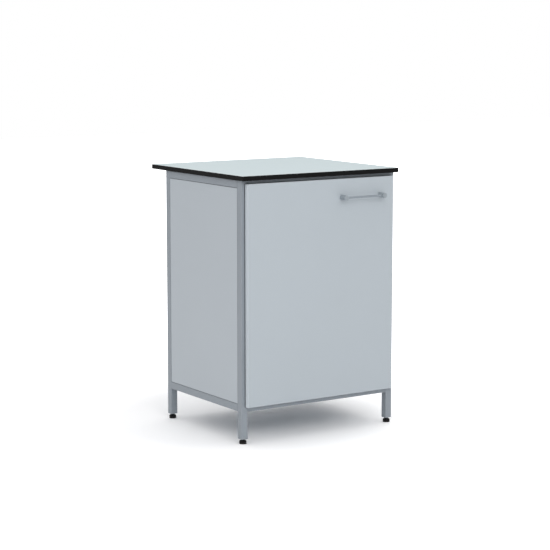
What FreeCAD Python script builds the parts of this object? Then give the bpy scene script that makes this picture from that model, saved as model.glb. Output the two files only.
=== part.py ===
import FreeCAD, Part
import math
import os
import re

import Sketcher
from FreeCAD import Placement, Rotation, Vector

# A laboratory bench section: a black-cored worktop on a square-tube frame with side and back
# panels, one overlay door on concealed cup hinges, a shelf and four levelling feet.
# Frame: +X to the right, +Y to the back, +Z up, origin on the floor under the middle of the
# whole object, handle included. All sizes are in millimetres.

doc = FreeCAD.newDocument("bench_cabinet")

# Driving dimensions: alias, value, meaning.
SIZES = [
    ("total_height", 900, "floor to the worktop's upper face"),
    ("worktop_width", 636, "worktop, left to right"),
    ("worktop_depth", 600, "worktop, front to back"),
    ("worktop_thickness", 16, "core and facing together"),
    ("facing_thickness", 1, "decorative facing on the core"),
    ("facing_chamfer", 0.5, "broken edge round the facing"),
    ("side_overhang", 6, "worktop past the frame, each side"),
    ("front_overhang", 20, "worktop past the frame's front"),
    ("back_overhang", 88, "worktop past the frame's back"),
    ("tube_size", 25, "outer side of the square tube"),
    ("tube_wall", 1.5, "wall of the square tube"),
    ("tube_corner", 2, "outer corner radius of the square tube"),
    ("leg_bottom", 17.5, "floor to the lower end of a leg's tube"),
    ("lower_rail_height", 109, "floor to the underside of the lower rails"),
    ("panel_thickness", 16, "side panel board"),
    ("back_thickness", 10, "back panel board"),
    ("panel_recess", 1, "panel's outer face behind the tube's outer face"),
    ("panel_gap", 0.7, "clearance round a panel in its window"),
    ("board_gap", 0.3, "clearance between a board and what stands beside it"),
    ("bottom_thickness", 16, "bottom board"),
    ("shelf_thickness", 16, "shelf board"),
    ("shelf_height", 486, "floor to the shelf's underside"),
    ("shelf_setback", 80, "shelf's front edge behind the frame's front"),
    ("shelf_end_gap", 1.8, "clearance at each end of the shelf"),
    ("peg_setback", 50, "shelf peg from the shelf's front or back edge"),
    ("peg_radius", 3, "part of a peg that carries the shelf"),
    ("peg_length", 9, "free length of a peg"),
    ("peg_shank_radius", 2.4, "part of a peg in its hole"),
    ("peg_shank_length", 10, "part of a peg in its hole, its length"),
    ("peg_hole_radius", 2.5, "hole for a shelf peg"),
    ("peg_hole_depth", 11, "depth of a shelf peg's hole"),
    ("peg_hole_pitch", 32, "spacing of the shelf peg holes"),
    ("peg_collar_radius", 4.5, "collar of a peg against the panel"),
    ("peg_collar_thickness", 1.5, "thickness of that collar"),
    ("lug_length", 20, "steel lug, out from the tube that carries it"),
    ("lug_width", 24, "steel lug along the tube"),
    ("lug_thickness", 2, "steel lug"),
    ("lug_inset", 70, "panel lug's middle from the end of the window"),
    ("worktop_lug_inset", 120, "worktop lug's middle from the frame's front or back"),
    ("screw_radius", 1.9, "shank of a board screw"),
    ("screw_hole_radius", 2, "hole for a board screw"),
    ("screw_length", 13, "board screw under its head"),
    ("screw_head_radius", 3.6, "head of a board screw"),
    ("screw_head_height", 2.2, "height of a board screw's head"),
    ("door_thickness", 16, "door board"),
    ("door_gap", 2.5, "door's back to the frame's front"),
    ("door_inset", 14, "door's edge from the frame's outer side"),
    ("door_foot_lap", 7.5, "door over the lower front rail"),
    ("door_head_gap", 11.5, "door's upper edge to the worktop's underside"),
    ("door_edge_radius", 0.8, "rounding of the door's front edges"),
    ("buffer_radius", 4, "door buffer"),
    ("buffer_gap", 0.3, "door buffer to the frame, door shut"),
    ("buffer_inset", 40, "door buffer from the door's upper or lower edge"),
    ("handle_projection", 31, "handle's posts out from the door"),
    ("handle_spacing", 160, "between the axes of the handle's posts"),
    ("handle_side_inset", 58, "near post's axis from the door's free edge"),
    ("handle_head_inset", 62.5, "posts' axes below the door's upper edge"),
    ("handle_post_radius", 8.75, "handle post"),
    ("handle_post_rounding", 0.8, "rounding of a post's end"),
    ("handle_bar_radius", 3.75, "handle bar"),
    ("handle_bar_setback", 8, "bar's axis behind the posts' end faces"),
    ("handle_bar_entry", 5, "bar in each post"),
    ("handle_screw_radius", 2, "handle screw"),
    ("handle_hole_radius", 2.2, "hole for a handle screw"),
    ("handle_head_radius", 4.6, "head of a handle screw"),
    ("handle_screw_depth", 12, "handle screw in its post"),
    ("edge_bevel", 1, "bevel at the ends of buffers and handle bores"),
    ("slip_fit", 0.05, "radial clearance of a pin or bar in its bore"),
    ("foot_radius", 12.3, "levelling foot on the floor"),
    ("foot_height", 12, "floor to the top of the foot's disc"),
    ("foot_bevel", 2.5, "bevel of the disc's upper rim"),
    ("foot_neck_radius", 6, "neck of the foot"),
    ("foot_neck_top", 15.5, "floor to the top of the foot's neck"),
    ("stud_radius", 4, "stud of a levelling foot"),
    ("stud_top", 62, "floor to the top of the stud"),
    ("stud_socket", 6, "stud in the foot"),
    ("plug_flange", 1, "flange of the plug under a leg's tube"),
    ("plug_inset", 1, "edge of that flange inside the tube's outer faces"),
    ("plug_length", 22, "plug in a leg's tube"),
    ("plug_gap", 0.2, "plug to the tube's inner side"),
    ("stud_clearance", 0.1, "radial clearance of the stud in the plug"),
    ("hinge_inset", 100, "hinge's middle from the door's upper or lower edge"),
    ("cup_radius", 17.5, "hinge cup"),
    ("cup_depth", 13, "hinge cup in the door"),
    ("cup_wall", 0.8, "wall and floor of the cup"),
    ("cup_margin", 4, "door's hinged edge to the cup"),
    ("cup_fit", 0.1, "radial clearance of the cup in its bore"),
    ("cup_rim", 1.2, "rim round the cup on the door's back"),
    ("wing_reach", 24, "cup's middle to each of its screws"),
    ("wing_radius", 5, "end of the cup's wings"),
    ("wing_thickness", 0.8, "rim and wings on the door's back"),
    ("cup_lip", 0.5, "bevel of the cup's mouth and wings"),
    ("cup_screw_head", 0.8, "height of a cup screw's flat head"),
    ("cup_screw_length", 12, "cup screw under its head"),
    ("pin_radius", 0.9, "hinge pin"),
    ("pin_head_radius", 1.6, "head of a hinge pin"),
    ("pin_head_height", 0.5, "height of a hinge pin's head"),
    ("link_radius", 1.5, "half the width of a hinge link"),
    ("inner_link_half", 4, "half the height of the inner link"),
    ("layer_gap", 0.4, "clearance between the hinge's layers"),
    ("link_cheek", 1.4, "cheek of the outer link"),
    ("arm_cheek", 1.2, "cheek of the hinge arm"),
    ("arm_web", 1.5, "web of the hinge arm on its plate"),
    ("arm_neck", 1.6, "half the width of the arm's cheeks at the pins"),
    ("arm_knee_reach", 6, "arm's knee from the leg's inner face"),
    ("arm_knee_depth", 9, "arm's knee behind the frame's front"),
    ("arm_depth", 4, "arm's web, front edge behind the frame's front"),
    ("arm_height", 5, "arm's cheeks on the plate, out from the leg"),
    ("outer_pin_reach", 25.69, "outer link's arm pin from the leg's inner face"),
    ("outer_pin_depth", 0.57, "outer link's arm pin behind the frame's front"),
    ("inner_pin_reach", 9.24, "inner link's arm pin from the leg's inner face"),
    ("inner_pin_depth", -12.91, "inner link's arm pin behind the frame's front"),
    ("outer_cup_offset", -12.42, "outer link's cup pin from the cup's axis"),
    ("outer_cup_depth", 1.7, "outer link's cup pin in from the door's back"),
    ("inner_cup_offset", -12.62, "inner link's cup pin from the cup's axis"),
    ("inner_cup_depth", 6.25, "inner link's cup pin in from the door's back"),
    ("eye_radius", 1.87, "open eye of the inner link round its cup pin"),
    ("eye_wall", 0.5, "metal round the open eye"),
    ("eye_offset_across", -0.8, "open eye's middle from the cup pin, to the right"),
    ("eye_offset_along", -0.41, "open eye's middle from the cup pin, to the back"),
    ("plate_thickness", 3, "hinge plate on the leg"),
    ("plate_reach", 27, "hinge plate, middle to its end"),
    ("plate_width", 21, "hinge plate, front to back"),
    ("plate_inset", 2, "hinge plate behind the frame's front"),
    ("plate_screw_reach", 18, "hinge plate's middle to each of its screws"),
    ("plate_screw_length", 8, "hinge plate's screw under its head"),
]

# Sizes that follow from the driving ones: alias, formula, meaning.
PLACES = [
    ("frame_width", "worktop_width - 2 * side_overhang", "frame, left to right"),
    ("frame_depth", "worktop_depth - front_overhang - back_overhang", "frame, front to back"),
    ("frame_side", "frame_width / 2", "middle to the frame's outer side"),
    ("frame_top", "total_height - worktop_thickness", "worktop's underside"),
    ("handle_reach", "door_gap + door_thickness + handle_projection", "handle past the frame"),
    ("frame_front", "(handle_reach - frame_depth - back_overhang) / 2", "Y of the frame's front"),
    ("frame_back", "frame_front + frame_depth", "Y of the frame's back"),
    ("tube_inside", "tube_size - 2 * tube_wall", "inner side of the tube"),
    ("window_bottom", "lower_rail_height + tube_size", "upper face of the lower rails"),
    ("window_top", "frame_top - tube_size", "lower face of the upper rails"),
    ("window_front", "frame_front + tube_size", "Y of the front legs' back faces"),
    ("window_back", "frame_back - tube_size", "Y of the back legs' front faces"),
    ("window_side", "frame_side - tube_size", "middle to the legs' inner faces"),
    ("panel_side", "frame_side - panel_recess", "middle to a side panel's outer face"),
    ("inner_side", "panel_side - panel_thickness", "middle to a side panel's inner face"),
    ("inner_back", "frame_back - panel_recess - back_thickness", "Y of the back panel's inner face"),
    ("door_left", "door_inset - frame_side", "X of the door's hinged edge"),
    ("door_width", "frame_width - 2 * door_inset", "door, left to right"),
    ("door_back", "frame_front - door_gap", "Y of the door's back"),
    ("door_bottom", "window_bottom - door_foot_lap", "Z of the door's lower edge"),
    ("door_height", "frame_top - door_head_gap - door_bottom", "door, bottom to top"),
    ("shelf_front", "frame_front + shelf_setback", "Y of the shelf's front edge"),
    ("shelf_back", "window_back - board_gap", "Y of the shelf's back edge"),
    ("hinge_low", "door_bottom + hinge_inset", "Z of the lower hinge's middle"),
    ("hinge_high", "door_bottom + door_height - hinge_inset", "Z of the upper hinge's middle"),
    ("cup_across", "door_inset + cup_margin + cup_radius", "cup's axis from the frame's side"),
    ("cheek_inside", "inner_link_half + layer_gap", "middle to the outer link's cheek"),
    ("cheek_outside", "cheek_inside + link_cheek", "middle to that cheek's outer face"),
    ("arm_inside", "cheek_outside + layer_gap", "middle to the arm's cheek"),
    ("arm_half", "arm_inside + arm_cheek", "half the height of the arm"),
    ("pin_bore", "pin_radius + slip_fit", "radius of a bore for a hinge pin"),
    ("cup_rivet_end", "sqrt(cup_radius ^ 2 - (outer_cup_offset - pin_radius) ^ 2) - slip_fit",
     "middle to the end of the outer link's cup pin"),
    ("cup_pin_end", "sqrt(cup_radius ^ 2 - (inner_cup_offset - pin_radius) ^ 2) - slip_fit",
     "middle to the end of the inner link's cup pin"),
]

SIZE_NAMES = {alias for alias, _, _ in SIZES}
UPRIGHT = Rotation()
FACING_FRONT = Rotation(Vector(1, 0, 0), 90)
FACING_BACK = Rotation(Vector(1, 0, 0), -90)
FACING_RIGHT = Rotation(Vector(0, 1, 0), 90)
FACING_LEFT = Rotation(Vector(0, 1, 0), -90)
SIDES = (("left", -1), ("right", 1))
PEG_HOLES = 5


def bound(text, home=""):
    """Put its sheet's name before each alias in an expression, except the aliases of home."""
    def with_sheet(found):
        sheet = "Sizes" if found.group(0) in SIZE_NAMES else "Places"
        return found.group(0) if sheet == home else f"{sheet}.{found.group(0)}"
    return re.sub(r"[a-z]+(?:_[a-z]+)+", with_sheet, text)


def fill_sheet(name, rows):
    """Make a sheet with one row for each alias, its content and its meaning."""
    sheet = doc.addObject("Spreadsheet::Sheet", name)
    for row, (alias, content, meaning) in enumerate(rows, start=1):
        sheet.set(f"A{row}", alias)
        sheet.set(f"B{row}", str(content))
        sheet.setAlias(f"B{row}", alias)
        sheet.set(f"C{row}", meaning)
    doc.recompute()
    return sheet


sizes_sheet = fill_sheet("Sizes", SIZES)
fill_sheet("Places", [(alias, "=" + bound(text, "Places"), note) for alias, text, note in PLACES])


def worth(text):
    """The number that an expression on the sheets comes to."""
    return float(sizes_sheet.evalExpression(bound(text)))


# Bodies, sketches and features.

def new_body(label, at=("0", "0", "0"), turn=UPRIGHT):
    """An empty body whose origin is bound to the place at."""
    body = doc.addObject("PartDesign::Body", label)
    body.Label = label
    bind_place(body, at, turn)
    return body


def bind_place(item, at, turn=UPRIGHT):
    """Turn an object and bind its origin to a place given as three expressions."""
    item.Placement = Placement(Vector(), turn)
    for axis, text in zip("xyz", at):
        item.setExpression("Placement.Base." + axis, bound(text))


def new_sketch(body, plane, offset="0"):
    """A sketch on one of the body's own planes, moved along the plane's normal by offset."""
    sketch = body.newObject("Sketcher::SketchObject", body.Label + "_sketch")
    flat = next(item for item in body.Origin.OriginFeatures if item.Role == plane)
    sketch.AttachmentSupport = [(flat, "")]
    sketch.MapMode = "FlatFace"
    sketch.setExpression("AttachmentOffset.Base.z", bound(offset))
    return sketch


def bind_constraint(sketch, kind, *parts):
    """Add a measured constraint whose last part is its expression."""
    index = sketch.addConstraint(Sketcher.Constraint(kind, *parts[:-1], worth(parts[-1])))
    sketch.setExpression(f"Constraints[{index}]", bound(parts[-1]))


def hold_point(sketch, curve, end, across, up):
    """Hold a point of a curve at two expressions; "0" keeps it on the sketch's axis."""
    for kind, axis, text in (("DistanceX", -2, across), ("DistanceY", -1, up)):
        if text == "0":
            sketch.addConstraint(Sketcher.Constraint("PointOnObject", curve, end, axis))
        else:
            bind_constraint(sketch, kind, -1, 1, curve, end, text)


def polygon(sketch, corners):
    """A closed outline of straight edges through corners given as pairs of expressions."""
    first = sketch.GeometryCount
    points = [Vector(worth(across), worth(up), 0) for across, up in corners]
    following = points[1:] + points[:1]
    for start, end in zip(points, following):
        sketch.addGeometry(Part.LineSegment(start, end), False)
    for index, (across, up) in enumerate(corners):
        after = first + (index + 1) % len(corners)
        sketch.addConstraint(Sketcher.Constraint("Coincident", first + index, 2, after, 1))
        hold_point(sketch, first + index, 1, across, up)


def rectangle(sketch, left, low, right, high):
    """A rectangle between two pairs of expressions."""
    polygon(sketch, [(left, low), (right, low), (right, high), (left, high)])


def circle(sketch, across, up, radius):
    """A circle about a point, all three given as expressions."""
    centre = Vector(worth(across), worth(up), 0)
    curve = sketch.addGeometry(Part.Circle(centre, Vector(0, 0, 1), worth(radius)), False)
    hold_point(sketch, curve, 3, across, up)
    bind_constraint(sketch, "Radius", curve, radius)


def tangent_ring(sketch, curves):
    """Join curves end to start and tangent to each other, all the way round."""
    for curve, after in zip(curves, curves[1:] + curves[:1]):
        sketch.addConstraint(Sketcher.Constraint("Tangent", curve, 2, after, 1))


def add_arc(sketch, centre, radius, start, sweep):
    """An arc about centre from the angle start through sweep, in radians."""
    ring = Part.Circle(centre, Vector(0, 0, 1), radius)
    return sketch.addGeometry(Part.ArcOfCircle(ring, start, start + sweep), False)


def slot(sketch, start, end, radius):
    """Half circles about start and end, each a pair of expressions, and their tangents."""
    first = Vector(worth(start[0]), worth(start[1]), 0)
    last = Vector(worth(end[0]), worth(end[1]), 0)
    reach = worth(radius)
    along = (last - first).normalize()
    aside = Vector(-along.y, along.x, 0) * reach
    angle = math.atan2(along.y, along.x)
    near = add_arc(sketch, first, reach, angle + math.pi / 2, math.pi)
    lower = sketch.addGeometry(Part.LineSegment(first - aside, last - aside), False)
    far = add_arc(sketch, last, reach, angle - math.pi / 2, math.pi)
    upper = sketch.addGeometry(Part.LineSegment(last + aside, first + aside), False)
    tangent_ring(sketch, [near, lower, far, upper])
    sketch.addConstraint(Sketcher.Constraint("Equal", near, far))
    bind_constraint(sketch, "Radius", near, radius)
    hold_point(sketch, near, 3, *start)
    hold_point(sketch, far, 3, *end)


def rounded_square(sketch, side, radius):
    """A square about the sketch's origin with rounded corners."""
    half = worth(side) / 2
    reach = worth(radius)
    flat = half - reach
    curves = []
    for quarter in range(4):
        turn = Rotation(Vector(0, 0, 1), 90 * quarter)
        start = turn.multVec(Vector(-flat, -half, 0))
        end = turn.multVec(Vector(flat, -half, 0))
        curves.append(sketch.addGeometry(Part.LineSegment(start, end), False))
        level = "Vertical" if quarter % 2 else "Horizontal"
        sketch.addConstraint(Sketcher.Constraint(level, curves[-1]))
        centre = turn.multVec(Vector(flat, -flat, 0))
        curves.append(add_arc(sketch, centre, reach, (quarter - 1) * math.pi / 2, math.pi / 2))
    tangent_ring(sketch, curves)
    for corner in (3, 5, 7):
        sketch.addConstraint(Sketcher.Constraint("Equal", curves[1], curves[corner]))
    bind_constraint(sketch, "Radius", curves[1], radius)
    sketch.addConstraint(Sketcher.Constraint("Symmetric", curves[1], 3, curves[5], 3, -1, 1))
    bind_constraint(sketch, "DistanceX", curves[6], 1, curves[2], 1, side)
    bind_constraint(sketch, "DistanceY", curves[0], 1, curves[4], 1, side)


def pad(body, sketch, length, flip=False, both_ways=False):
    """Add the sketch's outline drawn out by length."""
    feature = body.newObject("PartDesign::Pad", body.Label + "_pad")
    feature.Profile = sketch
    feature.setExpression("Length", bound(length))
    feature.Reversed = flip
    feature.Midplane = both_ways
    return feature


def pocket(body, sketch, depth, flip=False, both_ways=False):
    """Cut the sketch's outline to a depth, and make sure that it takes something away."""
    doc.recompute()
    before = body.Shape.Volume
    feature = body.newObject("PartDesign::Pocket", body.Label + "_pocket")
    feature.Profile = sketch
    feature.setExpression("Length", bound(depth))
    feature.Reversed = flip
    feature.Midplane = both_ways
    doc.recompute()
    if body.Shape.Volume > before - 1e-3:
        raise ValueError(f"a pocket of {body.Label} cuts nothing")
    return feature


def soften(body, kind, radius, chosen):
    """Round or bevel the edges of the body that the test chosen picks."""
    doc.recompute()
    base = body.Tip
    names = [f"Edge{number}" for number, edge in enumerate(base.Shape.Edges, 1) if chosen(edge)]
    feature = body.newObject("PartDesign::" + kind, f"{body.Label}_{kind.lower()}")
    feature.Base = (base, names)
    feature.setExpression("Radius" if kind == "Fillet" else "Size", bound(radius))
    return feature


def turned(label, profile, at=("0", "0", "0"), turn=UPRIGHT):
    """A solid turned about its own Z axis from (radius, height) corners."""
    body = new_body(label, at, turn)
    sketch = new_sketch(body, "XZ_Plane")
    polygon(sketch, profile)
    feature = body.newObject("PartDesign::Revolution", label + "_revolution")
    feature.Profile = sketch
    feature.ReferenceAxis = (sketch, ["V_Axis"])
    feature.Angle = 360
    return body


def group(label, copies):
    """One sub-part made of equal pieces: copies lists (pattern, place, turn) of each."""
    links = []
    for number, (pattern, at, turn) in enumerate(copies, 1):
        link = doc.addObject("App::Link", f"{label}_{number}")
        link.LinkedObject = pattern
        bind_place(link, at, turn)
        links.append(link)
    compound = doc.addObject("Part::Compound", label)
    compound.Label = label
    compound.Links = links
    return compound


def lies_at(height, axis="z"):
    """A test for edges that lie wholly in the plane where one coordinate has a value."""
    level = worth(height)
    return lambda edge: all(abs(getattr(end.Point, axis) - level) < 1e-4 for end in edge.Vertexes)


PARTS = {}


def keep(body):
    """Enter a sub-part under its label for writing out."""
    PARTS[body.Label] = body
    return body


# Worktop.

def build_worktop():
    """The black core board and the decorative facing that lies on it."""
    half = "worktop_width / 2"
    front = "frame_front - front_overhang"
    back = "frame_back + back_overhang"
    core = new_body("worktop_core", ("0", "0", "frame_top"))
    sketch = new_sketch(core, "XY_Plane")
    rectangle(sketch, "-" + half, front, half, back)
    pad(core, sketch, "worktop_thickness - facing_thickness")
    holes = new_sketch(core, "XY_Plane")
    for across, along in worktop_lug_places():
        middle = f"({across}) * (window_side - lug_length / 2)"
        circle(holes, middle, along, "screw_hole_radius")
    pocket(core, holes, "screw_length - lug_thickness + board_gap", flip=True)
    keep(core)
    facing = new_body("worktop_facing", ("0", "0", "total_height - facing_thickness"))
    sketch = new_sketch(facing, "XY_Plane")
    rectangle(sketch, "-" + half, front, half, back)
    pad(facing, sketch, "facing_thickness")
    soften(facing, "Chamfer", "facing_chamfer", lies_at("facing_thickness"))
    keep(facing)


# Frame.

def tube(label, length, at, turn=UPRIGHT):
    """A length of square tube along its own Z axis."""
    body = new_body(label, at, turn)
    sketch = new_sketch(body, "XY_Plane")
    rounded_square(sketch, "tube_size", "tube_corner")
    rounded_square(sketch, "tube_inside", "tube_corner - tube_wall")
    pad(body, sketch, length)
    return keep(body)


def leg_places():
    """Name, side and depth factor of each leg, and the X and Y of its axis."""
    rows = (("front", "frame_front + tube_size / 2"), ("back", "frame_back - tube_size / 2"))
    for row, along in rows:
        for side, sign in SIDES:
            yield f"{row}_{side}", f"{sign} * (frame_side - tube_size / 2)", along


def build_frame():
    """Four legs, and two rails along each side of the frame."""
    for name, across, along in leg_places():
        leg = tube("leg_" + name, "frame_top - leg_bottom", (across, along, "leg_bottom"))
        if name == "front_left":
            holes = new_sketch(leg, "YZ_Plane", "tube_size / 2")
            for height in ("hinge_low", "hinge_high"):
                for side in "-+":
                    circle(holes, "plate_inset + (plate_width - tube_size) / 2",
                           f"{height} {side} plate_screw_reach - leg_bottom", "screw_hole_radius")
            pocket(leg, holes, "2 * tube_wall")
    levels = (("lower", "lower_rail_height + tube_size / 2"), ("upper", "frame_top - tube_size / 2"))
    for level, height in levels:
        for side, sign in SIDES:
            at = (f"{sign} * (frame_side - tube_size / 2)", "window_back", height)
            tube(f"{level}_{side}_rail", "frame_depth - 2 * tube_size", at, FACING_FRONT)
        ends = (("front", "frame_front + tube_size / 2"), ("back", "frame_back - tube_size / 2"))
        for side, along in ends:
            at = ("-window_side", along, height)
            tube(f"{level}_{side}_rail", "2 * window_side", at, FACING_RIGHT)


# Boards in and on the frame.

def lug_heights():
    """Heights of the lower and the upper panel lugs' middles."""
    return ("window_bottom + lug_inset", "window_top - lug_inset")


def build_side_panel(side, sign):
    """A side panel with blind holes for its screws and two rows of shelf peg holes."""
    inner = f"{-sign} * panel_thickness"
    body = new_body("side_panel_" + side, (f"{sign} * panel_side", "0", "0"))
    sketch = new_sketch(body, "YZ_Plane")
    rectangle(sketch, "window_front + panel_gap", "window_bottom + panel_gap",
              "window_back - panel_gap", "window_top - panel_gap")
    pad(body, sketch, "panel_thickness", flip=sign > 0)
    screws = new_sketch(body, "YZ_Plane", inner)
    for along in ("window_front + lug_length / 2", "window_back - lug_length / 2"):
        for height in lug_heights():
            circle(screws, along, height, "screw_hole_radius")
    pocket(body, screws, "screw_length - lug_thickness + board_gap", flip=sign > 0)
    pegs = new_sketch(body, "YZ_Plane", inner)
    for along in peg_rows():
        lowest = f"shelf_height - peg_radius - {PEG_HOLES // 2} * peg_hole_pitch"
        circle(pegs, along, lowest, "peg_hole_radius")
    holes = pocket(body, pegs, "peg_hole_depth", flip=sign > 0)
    rows = body.newObject("PartDesign::LinearPattern", body.Label + "_rows")
    rows.Originals = [holes]
    rows.Direction = (pegs, ["V_Axis"])
    rows.setExpression("Length", bound(f"{PEG_HOLES - 1} * peg_hole_pitch"))
    rows.Occurrences = PEG_HOLES
    body.Tip = rows
    keep(body)


def build_back_panel():
    """The back panel in the window between the back legs."""
    body = new_body("back_panel", ("0", "frame_back - panel_recess", "0"))
    sketch = new_sketch(body, "XZ_Plane")
    rectangle(sketch, "panel_gap - window_side", "window_bottom + panel_gap",
              "window_side - panel_gap", "window_top - panel_gap")
    pad(body, sketch, "back_thickness")
    screws = new_sketch(body, "XZ_Plane", "back_thickness")
    for _, sign in SIDES:
        for height in lug_heights():
            middle = f"{sign} * (window_side - lug_length / 2)"
            circle(screws, middle, height, "screw_hole_radius")
    pocket(body, screws, "back_thickness - 2 * board_gap")
    keep(body)


def build_bottom_board():
    """The board on the lower rails, notched round the four legs."""
    body = new_body("bottom_board", ("0", "0", "window_bottom"))
    sketch = new_sketch(body, "XY_Plane")
    wide = "inner_side - board_gap"
    narrow = "window_side - board_gap"
    front = "frame_front"
    front_notch = "window_front + board_gap"
    back_notch = "window_back - board_gap"
    back = "inner_back - board_gap"
    right = [(narrow, front), (narrow, front_notch), (wide, front_notch),
             (wide, back_notch), (narrow, back_notch), (narrow, back)]
    left = [(f"-({across})", along) for across, along in reversed(right)]
    polygon(sketch, right + left)
    pad(body, sketch, "bottom_thickness")
    keep(body)


def peg_rows():
    """Y of the front and back rows of shelf pegs."""
    return ("shelf_front + peg_setback", "shelf_back - peg_setback")


def build_shelf():
    """The shelf board and the four pegs that it lies on."""
    body = new_body("shelf", ("0", "0", "shelf_height"))
    sketch = new_sketch(body, "XY_Plane")
    end = "inner_side - shelf_end_gap"
    rectangle(sketch, f"-({end})", "shelf_front", end, "shelf_back")
    pad(body, sketch, "shelf_thickness")
    keep(body)
    shank = "-peg_shank_length"
    peg = turned("shelf_peg", [
        ("0", shank), ("peg_shank_radius", shank), ("peg_shank_radius", "0"),
        ("peg_collar_radius", "0"), ("peg_collar_radius", "peg_collar_thickness"),
        ("peg_radius", "peg_collar_thickness"), ("peg_radius", "peg_length"), ("0", "peg_length")])
    copies = []
    for _, sign in SIDES:
        for along in peg_rows():
            at = (f"{sign} * inner_side", along, "shelf_height - peg_radius - slip_fit")
            copies.append((peg, at, FACING_LEFT if sign > 0 else FACING_RIGHT))
    keep(group("shelf_pegs", copies))


# Lugs and board screws.

def worktop_lug_places():
    """Side factor and Y of the middle of each lug under the worktop."""
    rows = ("frame_front + worktop_lug_inset", "frame_back - worktop_lug_inset")
    return [(sign, along) for _, sign in SIDES for along in rows]


def board_screw(label, head, length):
    """A plain screw along +Z with its head below its own origin."""
    return turned(label, [
        ("0", "-" + head), ("screw_head_radius", "-" + head), ("screw_head_radius", "0"),
        ("screw_radius", "0"), ("screw_radius", length), ("0", length)])


def build_lugs_and_screws():
    """Steel lugs, welded by one end to the tubes behind the boards, and a screw for each."""
    plain = new_body("lug_pattern")
    sketch = new_sketch(plain, "XY_Plane")
    half = "lug_width / 2"
    rectangle(sketch, "0", "-" + half, "lug_length", half)
    circle(sketch, "lug_length / 2", "0", "screw_hole_radius")
    pad(plain, sketch, "lug_thickness")
    screw = board_screw("board_screw", "screw_head_height", "screw_length")
    lugs = []
    screws = []
    for _, sign in SIDES:
        face = f"{sign} * (inner_side - lug_thickness)"
        outward = FACING_RIGHT if sign > 0 else FACING_LEFT
        for row, direction in (("window_front", 1), ("window_back", -1)):
            for height in lug_heights():
                turn = outward * Rotation(Vector(0, 0, 1), 90 * direction)
                lugs.append((plain, (face, row, height), turn))
                along = f"{row} + {direction} * lug_length / 2"
                screws.append((screw, (face, along, height), outward))
        for height in lug_heights():
            turn = FACING_BACK * Rotation(Vector(0, 0, 1), 90 - 90 * -sign)
            at = (f"{sign} * window_side", "inner_back - lug_thickness", height)
            lugs.append((plain, at, turn))
    for sign, along in worktop_lug_places():
        turn = Rotation(Vector(0, 0, 1), 180 if sign > 0 else 0)
        at = (f"{sign} * window_side", along, "frame_top - lug_thickness")
        lugs.append((plain, at, turn))
        middle = f"{sign} * (window_side - lug_length / 2)"
        screws.append((screw, (middle, along, "frame_top - lug_thickness"), UPRIGHT))
    keep(group("frame_lugs", lugs))
    keep(group("board_screws", screws))


# Levelling feet.

def build_feet():
    """For each leg: the plug in its tube, and a foot with its stud."""
    plug_low = "leg_bottom - plug_flange"
    bore = "stud_radius + stud_clearance"
    plug = new_body("leg_plug")
    flange = new_sketch(plug, "XY_Plane")
    rounded_square(flange, "tube_size - 2 * plug_inset", "tube_corner - plug_inset")
    circle(flange, "0", "0", bore)
    pad(plug, flange, "plug_flange")
    stem = new_sketch(plug, "XY_Plane", "plug_flange")
    rounded_square(stem, "tube_inside - 2 * plug_gap", "tube_wall")
    circle(stem, "0", "0", bore)
    pad(plug, stem, "plug_length")
    plugs = [(plug, (across, along, plug_low), UPRIGHT) for _, across, along in leg_places()]
    keep(group("leg_plugs", plugs))
    stud_low = "foot_neck_top - stud_socket"
    for name, across, along in leg_places():
        keep(turned("foot_" + name, [
            ("0", "0"), ("foot_radius", "0"), ("foot_radius", "foot_height - foot_bevel"),
            ("foot_radius - foot_bevel", "foot_height"), ("foot_neck_radius", "foot_height"),
            ("foot_neck_radius", "foot_neck_top"), ("stud_radius", "foot_neck_top"),
            ("stud_radius", stud_low), ("0", stud_low)], (across, along, "0")))
        keep(turned("stud_" + name, [
            ("0", stud_low), ("stud_radius", stud_low), ("stud_radius", "stud_top"),
            ("0", "stud_top")], (across, along, "0")))


# Door and handle.

def handle_post_places():
    """X and Z, in the door's own frame, of the far and the near handle post."""
    near = "door_width - handle_side_inset"
    height = "door_height - handle_head_inset"
    return (("far", f"{near} - handle_spacing", height), ("near", near, height))


def build_door():
    """The door board with its hinge bores, screw holes and rounded front edges."""
    body = new_body("door_panel", ("door_left", "door_back", "door_bottom"))
    sketch = new_sketch(body, "XZ_Plane")
    rectangle(sketch, "0", "0", "door_width", "door_height")
    pad(body, sketch, "door_thickness")
    soften(body, "Fillet", "door_edge_radius", lies_at("-door_thickness", "y"))
    holes = new_sketch(body, "XZ_Plane")
    for _, across, height in handle_post_places():
        circle(holes, across, height, "handle_hole_radius")
    pocket(body, holes, "door_thickness", flip=True)
    bores = new_sketch(body, "XZ_Plane")
    screws = new_sketch(body, "XZ_Plane")
    for height in ("hinge_inset", "door_height - hinge_inset"):
        circle(bores, "cup_margin + cup_radius", height, "cup_radius + cup_fit")
        for side in "-+":
            reach = f"{height} {side} wing_reach"
            circle(screws, "cup_margin + cup_radius", reach, "screw_hole_radius")
    pocket(body, bores, "cup_depth + cup_fit", flip=True)
    pocket(body, screws, "cup_screw_length", flip=True)
    keep(body)


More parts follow.
